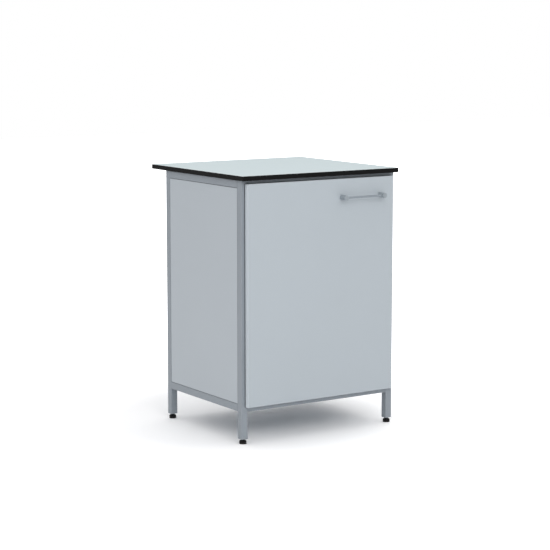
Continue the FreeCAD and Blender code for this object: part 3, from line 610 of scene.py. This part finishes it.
@dataclass(frozen=True)
class MouldedPlastic(Finish):
    """Moulded plastic with a spark-eroded texture and floor dust low down."""

    dust: Colour = (0.14, 0.14, 0.13, 1.0)
    gloss: float = 0.5
    spark_size: float = 0.0007
    spark_depth: float = 0.00006
    flow_size: float = 0.008
    dust_height: float = 0.006

    def dress(self, graph: Graph) -> None:
        """Fill the material's node tree.

        Args:
            graph: The material's tree.
        """
        place = graph.place()
        spark = graph.cells(place, self.spark_size)
        flow = graph.noise(place, self.flow_size, 3.0)
        height = graph.split(place)[2]
        low = (1 - height.ramped(0.0, self.dust_height)) * flow.ramped(0.4, 0.75)
        body = graph.blend(flow, toned(self.colour, 0.85), toned(self.colour, 1.25))
        body = graph.blend(low * 0.3, body, self.dust)
        relief = graph.bump(spark, self.spark_depth, 0.35)
        graph.surface(
            Base_Color=body,
            Roughness=0.4 + spark * 0.14 + low * 0.15,
            Specular_IOR_Level=self.gloss,
            Normal=relief,
        )


@dataclass(frozen=True)
class ClearRubber(Finish):
    """Clear soft buffer, a little cloudy inside, its tone, shine and surface varied by a fine haze.
    """

    haze_size: float = 0.0022
    haze_depth: float = 0.00004
    clearness: float = 0.55
    bending: float = 1.42

    def dress(self, graph: Graph) -> None:
        """Fill the material's node tree.

        Args:
            graph: The material's tree.
        """
        place = graph.place()
        haze = graph.noise(place, self.haze_size, 3.0)
        body = graph.blend(haze, self.colour, toned(self.colour, 0.86))
        relief = graph.bump(haze, self.haze_depth, 0.3)
        graph.surface(Transmission_Weight=self.clearness, IOR=self.bending)
        graph.surface(Base_Color=body, Roughness=0.28 + haze * 0.2, Normal=relief)


@dataclass(frozen=True)
class StudioFloor(Finish):
    """Smooth pale floor that keeps the cabinet's shadow, with painted light seen only by the camera
    that lifts it to white further off.
    """

    middle: tuple[float, float, float] = (-0.15, 0.1, 0.0)
    near: float = 0.36
    far: float = 1.25
    cloud_size: float = 1.3
    ripple_size: float = 0.02
    ripple_depth: float = 0.0001

    def dress(self, graph: Graph) -> None:
        """Fill the material's node tree.

        Args:
            graph: The material's tree.
        """
        place = graph.place()
        cloud = graph.noise(place, self.cloud_size, 2.0)
        body = graph.blend(cloud, toned(self.colour, 0.997), self.colour)
        relief = graph.bump(graph.noise(place, self.ripple_size, 2.0), self.ripple_depth, 0.1)
        ends = {0: place, 1: self.middle}
        off = graph.node("ShaderNodeVectorMath", {"operation": "DISTANCE"}, ends, output="Value")
        seen = graph.node("ShaderNodeLightPath", output="Is Camera Ray")
        # Painted light: camera-only glow rising with distance from a point left of the cabinet,
        # trimming the shadow's reach and whitening the floor further off.
        painted_floor_light = seen * off.ramped(self.near, self.far)
        graph.surface(
            Base_Color=body,
            Roughness=0.62 + cloud * 0.04,
            Normal=relief,
            Emission_Color=graph.blend(painted_floor_light, BLACK, WHITE),
            Emission_Strength=1.0,
        )


# -------------------------------------------------------------- mesh helpers


Profile = Sequence[tuple[float, float]]
Ring = list[bmesh.types.BMVert]


def lathe(mesh: bmesh.types.BMesh, profile: Profile, sides: int, seat: Matrix) -> list[Ring]:
    """Turn a profile round the Z axis of a seat.

    Args:
        mesh: Where the faces go.
        profile: Pairs of radius and height, from one end to the other; radius 0 closes an end.
        sides: How many faces go round.
        seat: Where the Z axis lies.

    Returns:
        The rings of points, one for each pair.
    """
    rings: list[Ring] = []
    for radius, height in profile:
        if radius == 0:
            rings.append([mesh.verts.new(seat @ Vector((0, 0, height)))])
            continue
        ring = []
        for step in range(sides):
            turn = 2 * math.pi * step / sides
            spot = Vector((radius * math.cos(turn), radius * math.sin(turn), height))
            ring.append(mesh.verts.new(seat @ spot))
        rings.append(ring)
    for low, high in zip(rings, rings[1:]):
        for step in range(sides):
            after = (step + 1) % sides
            corners = [low[step % len(low)], low[after % len(low)]]
            corners += [high[after % len(high)], high[step % len(high)]]
            unique = list(dict.fromkeys(corners))
            if len(unique) > 2:
                mesh.faces.new(unique)
    return rings


def loose_parts(node: str) -> list[list[Vector]]:
    """Split a solid node into its separate parts.

    Args:
        node: The node's name.

    Returns:
        Each part's points, parts in the order of their places.
    """
    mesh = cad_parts[node].data
    keys = [tuple(round(c, 6) for c in vertex.co) for vertex in mesh.vertices]
    parent = {key: key for key in keys}

    def root(key: tuple[float, ...]) -> tuple[float, ...]:
        """Follow a point up to its part's first point.

        Args:
            key: The point.

        Returns:
            The first point.
        """
        while parent[key] != key:
            parent[key] = parent[parent[key]]
            key = parent[key]
        return key

    for face in mesh.polygons:
        first = root(keys[face.vertices[0]])
        for corner in face.vertices:
            parent[root(keys[corner])] = first
    parts: dict[tuple[float, ...], list[Vector]] = defaultdict(list)
    for key in parent:
        parts[root(key)].append(Vector(key))
    return sorted(parts.values(), key=lambda part: tuple(round(c, 4) for c in min(part, key=tuple)))


def finished_piece(
    name: str,
    mesh: bmesh.types.BMesh,
    finish: Finish,
    body: str,
    stands_for: Sequence[str],
) -> bpy.types.Object:
    """Turn a mesh into a dressed piece that rides on a body.

    Args:
        name: The piece's name.
        mesh: Its mesh, used up here.
        finish: Its finish.
        body: The body it rides on.
        stands_for: The solid nodes it replaces.

    Returns:
        The piece.
    """
    bmesh.ops.remove_doubles(mesh, verts=mesh.verts, dist=WELD_DISTANCE)
    bmesh.ops.recalc_face_normals(mesh, faces=mesh.faces)
    data = bpy.data.meshes.new(name)
    mesh.to_mesh(data)
    mesh.free()
    data.shade_smooth()
    piece = bpy.data.objects.new(name, data)
    bpy.context.scene.collection.objects.link(piece)
    data.set_sharp_from_angle(angle=SMOOTH_ANGLE)
    data.materials.append(finish.material())
    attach(piece, body)
    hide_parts(*stands_for)
    LOG.info("piece %s: %d faces, rides on %s", name, len(data.polygons), body)
    return piece


def dress(finish: Finish, nodes: Iterable[str]) -> None:
    """Put a finish on solid nodes.

    Args:
        finish: The finish.
        nodes: The nodes' names.
    """
    for node in nodes:
        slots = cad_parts[node].data.materials
        if len(slots) == 0:
            slots.append(finish.material())
        for index in range(len(slots)):
            slots[index] = finish.material()
        LOG.info("node %s: %s", node, finish.name)


# ---------------------------------------------------------------- fastenings


@dataclass(frozen=True)
class Thread:
    """A cut thread on a round shank."""

    radius: float
    pitch: float
    depth_share: float = 0.61
    lead_in: float = 1.5
    taper_turns: float = 4.0
    sides: int = 16
    steps: int = 4

    def rings(self, low: float, high: float) -> list[float]:
        """Give the heights of the rings that carry the thread."""
        count = max(2, round((high - low) / self.pitch * self.steps))
        return [low + (high - low) * step / count for step in range(count + 1)]

    def cut(
        self, mesh: bmesh.types.BMesh, low: float, high: float, seat: Matrix, taper: float
    ) -> None:
        """Build the threaded shank with closed ends.

        Args:
            mesh: Where the faces go.
            low: The height of the tip's end.
            high: The height of the upper end.
            seat: Where the shank's Z axis lies.
            taper: How much narrower the tip is, as a share of the radius.
        """
        depth = self.pitch * self.depth_share
        rows: list[Ring] = []
        for height in self.rings(low, high):
            turns = (height - low) / self.pitch
            fade = min(1.0, turns / self.lead_in, (high - height) / self.pitch)
            narrow = 1 - taper * max(0.0, 1 - turns / self.taper_turns)
            row = []
            for side in range(self.sides):
                turn = side / self.sides
                phase = (turns - turn) % 1.0
                crest = abs(2 * phase - 1)
                radius = (self.radius - depth * (1 - crest * max(0.0, fade))) * narrow
                angle = 2 * math.pi * turn
                spot = Vector((radius * math.cos(angle), radius * math.sin(angle), height))
                row.append(mesh.verts.new(seat @ spot))
            rows.append(row)
        for lower, upper in zip(rows, rows[1:]):
            for side in range(self.sides):
                after = (side + 1) % self.sides
                mesh.faces.new((lower[side], lower[after], upper[after], upper[side]))
        mesh.faces.new(list(reversed(rows[0])))
        mesh.faces.new(rows[-1])


@dataclass(frozen=True)
class CrossHead:
    """A raised round head with a cross recess."""

    arm: float = 0.62
    width: float = 0.2
    width_kept: float = 0.55
    shortest_arm: float = 1.05
    deep: float = 0.5
    floor_shrink: float = 0.35
    land: float = 1.18
    crown: float = 0.22
    crown_steps: int = 4
    sides: int = 28

    def cross(self, radius: float, shrink: float) -> list[tuple[float, float]]:
        """Give the corners of the cross, in order round it.

        Args:
            radius: The head's radius.
            shrink: 1 at the recess's mouth, less at its floor.

        Returns:
            Twelve corners.
        """
        arm = self.arm * radius * shrink
        wide = self.width * radius * (self.width_kept + (1 - self.width_kept) * shrink)
        arm = max(arm, self.shortest_arm * wide)
        quarter = [(arm, -wide), (arm, wide), (wide, wide)]
        corners = []
        for turn in range(4):
            angle = math.pi / 2 * turn
            cos, sin = round(math.cos(angle)), round(math.sin(angle))
            corners += [(x * cos - y * sin, x * sin + y * cos) for x, y in quarter]
        return corners

    def build(self, mesh: bmesh.types.BMesh, radius: float, height: float, seat: Matrix) -> None:
        """Build the head, its underside at the seat's origin and its top along Z.

        Args:
            mesh: Where the faces go.
            radius: The head's radius.
            height: The head's height.
            seat: Where it stands.
        """
        flat = self.arm * self.land * radius
        rise = self.crown * height
        profile = [(0.0, 0.0), (radius, 0.0), (radius, height - rise)]
        for step in range(self.crown_steps):
            share = (step + 1) / self.crown_steps
            out = radius + (flat - radius) * share
            lift = rise * math.sin(math.pi / 2 * share)
            profile.append((out, height - rise + lift))
        rim = lathe(mesh, profile, self.sides, seat)[-1]
        mouth = [mesh.verts.new(seat @ Vector((x, y, height))) for x, y in self.cross(radius, 1.0)]
        floor = [
            mesh.verts.new(seat @ Vector((x, y, height * (1 - self.deep))))
            for x, y in self.cross(radius, self.floor_shrink)
        ]
        edges = []
        for loop in (rim, mouth):
            for one, other in zip(loop, loop[1:] + loop[:1]):
                edges.append(mesh.edges.get((one, other)) or mesh.edges.new((one, other)))
        bmesh.ops.triangle_fill(mesh, use_beauty=True, use_dissolve=False, edges=edges)
        inside = [face for face in mesh.faces if all(corner in mouth for corner in face.verts)]
        bmesh.ops.delete(mesh, geom=inside, context="FACES_ONLY")
        for step in range(len(mouth)):
            after = (step + 1) % len(mouth)
            mesh.faces.new((mouth[step], mouth[after], floor[after], floor[step]))
        mesh.faces.new(floor)


@dataclass(frozen=True)
class Seat:
    """Where one turned fastener sits, and how large it is."""

    tip: Vector
    way: Vector
    length: float
    head_radius: float
    head_height: float
    shank_radius: float
    rim_share: ClassVar[float] = 0.93
    tip_share: ClassVar[float] = 0.6

    @classmethod
    def measure(cls, points: Sequence[Vector]) -> "Seat":
        """Read a fastener's seat from the points of its solid.

        Args:
            points: The solid's points.

        Returns:
            The seat, its way pointing from the tip to the head.
        """
        low = Vector([min(point[axis] for point in points) for axis in range(3)])
        high = Vector([max(point[axis] for point in points) for axis in range(3)])
        span = high - low
        gaps = [abs(span[(axis + 1) % 3] - span[(axis + 2) % 3]) for axis in range(3)]
        axis = gaps.index(min(gaps))
        middle = (low + high) / 2

        def reach(point: Vector) -> float:
            """Give a point's distance from the axis.

            Args:
                point: The point.

            Returns:
                The distance.
            """
            off = point - middle
            off[axis] = 0.0
            return off.length

        radius = max(reach(point) for point in points)
        wide = [point[axis] for point in points if reach(point) > cls.rim_share * radius]
        head_low, head_high = min(wide), max(wide)
        forward = (head_low + head_high) / 2 > middle[axis]
        way = Vector((0, 0, 0))
        way[axis] = 1.0 if forward else -1.0
        tip = middle.copy()
        tip[axis] = low[axis] if forward else high[axis]
        head_height = (high[axis] - head_low) if forward else (head_high - low[axis])
        near = cls.tip_share * (span[axis] - head_height)
        shank = max(reach(point) for point in points if abs(point[axis] - tip[axis]) < near)
        return cls(tip, way, span[axis], radius, head_height, shank)

    def matrix(self) -> Matrix:
        """Give the frame whose origin is the tip and whose Z axis is the way."""
        turn = self.way.to_track_quat("Z", "Y").to_matrix().to_4x4()
        return Matrix.Translation(self.tip) @ turn


@dataclass(frozen=True)
class Fasteners:
    """A set of equal cross-head screws that stands for a plain solid node."""

    node: str
    body: str
    finish: Finish
    pitch: float
    taper: float = 0.45
    fit: float = 0.995
    overlap: float = 0.1 * MM
    head: CrossHead = CrossHead()

    def build(self) -> bpy.types.Object:
        """Build the screws where their solids are.

        Returns:
            The piece that holds them all.
        """
        mesh = bmesh.new()
        for points in loose_parts(self.node):
            seat = Seat.measure(points)
            place = seat.matrix()
            under_head = seat.length - seat.head_height
            thread = Thread(seat.shank_radius * self.fit, self.pitch)
            thread.cut(mesh, 0.0, under_head + self.overlap, place, self.taper)
            lifted = place @ Matrix.Translation((0, 0, under_head))
            self.head.build(mesh, seat.head_radius, seat.head_height, lifted)
        return finished_piece(f"{self.node}_cut", mesh, self.finish, self.body, [self.node])


# ------------------------------------------------------------ sub-assemblies


@dataclass
class Worktop:
    """The bench's top: a dark compact core under a pale facing."""

    core: Finish = CompactCore("compact_core", "core", tint(9, 9, 10), tint(34, 32, 31))
    colour: Colour = tint(194, 207, 210)

    def build(self) -> None:
        """Dress the two layers."""
        dress(self.core, ["worktop_core"])
        outline = Outline.of("worktop_facing")
        facing = Laminate("top_facing", "facing", self.colour, outline, self.core.colour)
        dress(facing, ["worktop_facing"])


@dataclass
class SteelFrame:
    """The welded frame of square tube, its lugs and the plugs in its legs."""

    colour: Colour = tint(137, 144, 151)
    plug: Finish = MouldedPlastic("plug_plastic", "black_plastic", tint(150, 154, 158))
    corners: tuple[str, ...] = ("front_left", "front_right", "back_left", "back_right")
    sides: tuple[str, ...] = ("left", "right", "front", "back")

    def build(self) -> None:
        """Dress tubes, lugs and plugs."""
        tubes = [f"leg_{corner}" for corner in self.corners]
        tubes += [f"{level}_{side}_rail" for level in ("lower", "upper") for side in self.sides]
        for tube in tubes:
            bar = Outline.of(tube)
            # Front tubes get painted shade along the door's edge.
            door = Outline.of("door_panel") if "front" in tube else None
            dress(PowderCoat(f"coated_{tube}", "frame_paint", self.colour, bar, door), [tube])
        dress(PowderCoat("coated_lugs", "frame_paint", self.colour), ["frame_lugs"])
        dress(self.plug, ["leg_plugs"])


@dataclass
class Boards:
    """Side panels, back panel, bottom board and shelf, with the screws that hold them."""

    colour: Colour = tint(174, 181, 187)
    # Painted shade colour for the panels' outer band, where they meet the frame.
    joint: Colour = tint(92, 98, 104)
    band_and_gap_shade: Colour = CoatedBoard.band_and_gap_shade
    panels: tuple[str, ...] = ("side_panel_left", "side_panel_right", "back_panel")
    boards: tuple[str, ...] = ("bottom_board", "shelf")
    pitch: float = 1.8 * MM
    zinc: Finish = ZINC

    def build(self) -> None:
        """Dress the boards and pegs, and cut the screws."""
        for node in self.panels + self.boards:
            # Panels get a dark band as painted shade where they meet the frame; the other boards
            # get their real edge band.
            edge = self.joint if node in self.panels else self.band_and_gap_shade
            outline = Outline.of(node)
            dress(CoatedBoard(f"coated_{node}", "panel_board", self.colour, outline, edge), [node])
        dress(self.zinc, ["shelf_pegs"])
        Fasteners("board_screws", "carcass", self.zinc, self.pitch).build()


@dataclass
class Door:
    """The overlay door with its buffers and its handle."""

    colour: Colour = tint(173, 181, 187)
    buffer: Finish = ClearRubber("clear_rubber", "clear_buffer", tint(226, 229, 230))
    post: Finish = Metal(
        "handle_posts",
        "handle_metal",
        tint(151, 159, 165),
        Grain.ROUND_Y,
        shine=0.4,
        metallic=0.3,
        tarnish=tint(140, 148, 154),
    )
    bar: Finish = Metal(
        "handle_bar_metal",
        "handle_metal",
        tint(146, 154, 161),
        Grain.ROUND_X,
        shine=0.4,
        metallic=0.6,
        tarnish=tint(132, 140, 147),
    )
    pitch: float = 0.7 * MM
    blunt: float = 0.06
    zinc: Finish = ZINC

    def build(self) -> None:
        """Dress door, buffers and handle, and cut the handle's screws."""
        leaf = CoatedBoard("coated_door", "door_board", self.colour, Outline.of("door_panel"))
        dress(leaf, ["door_panel"])
        dress(self.buffer, ["door_buffers"])
        dress(self.post, ["handle_post_far", "handle_post_near"])
        dress(self.bar, ["handle_bar"])
        Fasteners("handle_screws", "door", self.zinc, self.pitch, self.blunt).build()


@dataclass
class Hinges:
    """The two concealed cup hinges."""

    nickel: Finish = Metal(
        "hinge_nickel", "zinc_steel", tint(190, 192, 194), shine=0.26, tarnish=tint(158, 157, 152)
    )
    pin: Finish = Metal(
        "hinge_pin_steel",
        "zinc_steel",
        tint(170, 172, 176),
        Grain.ALONG_Z,
        tarnish=tint(130, 130, 128),
    )
    zinc: Finish = ZINC
    pressed: tuple[str, ...] = (
        "hinge_cups",
        "outer_links",
        "inner_links",
        "hinge_arms",
        "hinge_plates",
    )
    pitch: float = 1.4 * MM

    def build(self) -> None:
        """Dress the pressed parts and pins, and cut the screws."""
        dress(self.nickel, self.pressed)
        dress(self.pin, ["hinge_arm_pins", "hinge_cup_pins"])
        Fasteners("hinge_cup_screws", "door", self.zinc, self.pitch).build()
        Fasteners("hinge_plate_screws", "carcass", self.zinc, self.pitch).build()


@dataclass
class LevellingFeet:
    """The four feet with their threaded studs."""

    plastic: Finish = MouldedPlastic("foot_plastic", "black_plastic", tint(11, 11, 12), gloss=0.2)
    stud: Finish = Metal(
        "stud_zinc", "zinc_steel", tint(188, 192, 197), tarnish=tint(146, 148, 146)
    )
    corners: tuple[str, ...] = ("front_left", "front_right", "back_left", "back_right")
    pitch: float = 1.25 * MM
    taper: float = 0.08
    sides: int = 20

    def build(self) -> None:
        """Dress the feet and cut their studs."""
        for corner in self.corners:
            dress(self.plastic, [f"foot_{corner}"])
            self.cut_stud(corner)

    def cut_stud(self, corner: str) -> None:
        """Build one threaded stud in the place of the plain one.

        Args:
            corner: Which leg it is in.
        """
        node = f"stud_{corner}"
        low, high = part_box(node)
        middle = (low + high) / 2
        seat = Matrix.Translation((middle.x, middle.y, low.z))
        mesh = bmesh.new()
        thread = Thread((high.x - low.x) / 2, self.pitch, sides=self.sides)
        thread.cut(mesh, 0.0, high.z - low.z, seat, self.taper)
        finished_piece(f"{node}_cut", mesh, self.stud, f"foot_{corner}", [node])


# -------------------------------------------------------------------- studio


@dataclass(frozen=True)
class Softbox:
    """One large soft lamp aimed at the cabinet."""

    name: str
    place: tuple[float, float, float]
    size: tuple[float, float]
    power: float
    target: tuple[float, float, float] = (0.0, 0.0, 0.45)

    def build(self) -> None:
        """Hang the lamp."""
        data = bpy.data.lights.new(self.name, "AREA")
        data.shape = "RECTANGLE"
        data.size, data.size_y = self.size
        data.energy = self.power
        lamp = bpy.data.objects.new(self.name, data)
        lamp.location = self.place
        aim = Vector(self.target) - Vector(self.place)
        lamp.rotation_euler = aim.to_track_quat("-Z", "Y").to_euler()
        bpy.context.scene.collection.objects.link(lamp)


@dataclass
class Studio:
    """Pale floor, even sky, soft lamps and the camera."""

    floor_half: float = 14.0
    floor_squares: int = 8
    sky_low: float = 0.26
    sky_high: float = 1.08
    backdrop: float = 1.0
    horizon: tuple[float, float] = (0.3, 0.4)
    camera_place: tuple[float, float, float] = (-3.4027, -5.1591, 1.4072)
    camera_turn: float = 33.374
    camera_dip: float = 8.203
    lens: float = 116.184
    sensor: float = 36.0
    sight: float = 60.0
    lamps: tuple[Softbox, ...] = (
        Softbox("lamp_above", (0.2, 0.9, 3.4), (3.0, 3.0), 11.0),
        Softbox("lamp_front", (-1.2, -3.9, 2.8), (3.2, 2.0), 54.0),
        Softbox("lamp_left", (-3.2, -0.6, 3.6), (2.6, 2.4), 8.0),
    )

    def build(self) -> None:
        """Set up the whole studio."""
        self.lay_floor()
        self.light_sky()
        for lamp in self.lamps:
            lamp.build()
        self.set_camera()
        bpy.context.scene.view_settings.view_transform = "Standard"

    def lay_floor(self) -> None:
        """Lay the floor."""
        mesh = bmesh.new()
        squares = self.floor_squares
        bmesh.ops.create_grid(mesh, x_segments=squares, y_segments=squares, size=self.floor_half)
        data = bpy.data.meshes.new("floor")
        mesh.to_mesh(data)
        mesh.free()
        floor = bpy.data.objects.new("floor", data)
        data.materials.append(StudioFloor("floor_pale", "", tint(253, 253, 254)).material())
        bpy.context.scene.collection.objects.link(floor)

    def light_sky(self) -> None:
        """Light the scene from the upper sky, and keep the sky white for the camera."""
        world = bpy.data.worlds.new("studio_sky")
        bpy.context.scene.world = world
        sky = Graph(world)
        up = sky.split(sky.node("ShaderNodeTexCoord", output="Generated"))[2]
        seen = sky.node("ShaderNodeLightPath", output="Is Camera Ray")
        through = sky.node("ShaderNodeLightPath", output="Is Transmission Ray")
        seen = seen.most(through)
        light = up.ramped(*self.horizon) * (self.sky_high - self.sky_low) + self.sky_low
        sky.surface(Color=WHITE, Strength=light * (1 - seen) + self.backdrop * seen)

    def set_camera(self) -> None:
        """Stand the camera at the front left, a little above the worktop."""
        data = bpy.data.cameras.new("view")
        data.lens = self.lens
        data.sensor_width = self.sensor
        data.clip_end = self.sight
        camera = bpy.data.objects.new("view", data)
        camera.location = self.camera_place
        turn, dip = math.radians(self.camera_turn), math.radians(self.camera_dip)
        level = math.cos(dip)
        look = Vector((math.sin(turn) * level, math.cos(turn) * level, -math.sin(dip)))
        camera.rotation_euler = look.to_track_quat("-Z", "Y").to_euler()
        bpy.context.scene.collection.objects.link(camera)
        bpy.context.scene.camera = camera


def main() -> None:
    """Dress the cabinet piece by piece and set up the studio."""
    logging.basicConfig(level=logging.INFO, format="%(name)s: %(message)s")
    for kind in (Worktop, SteelFrame, Boards, Door, Hinges, LevellingFeet, Studio):
        LOG.info("building %s", kind.__name__)
        kind().build()


if __name__ == "__main__":
    main()
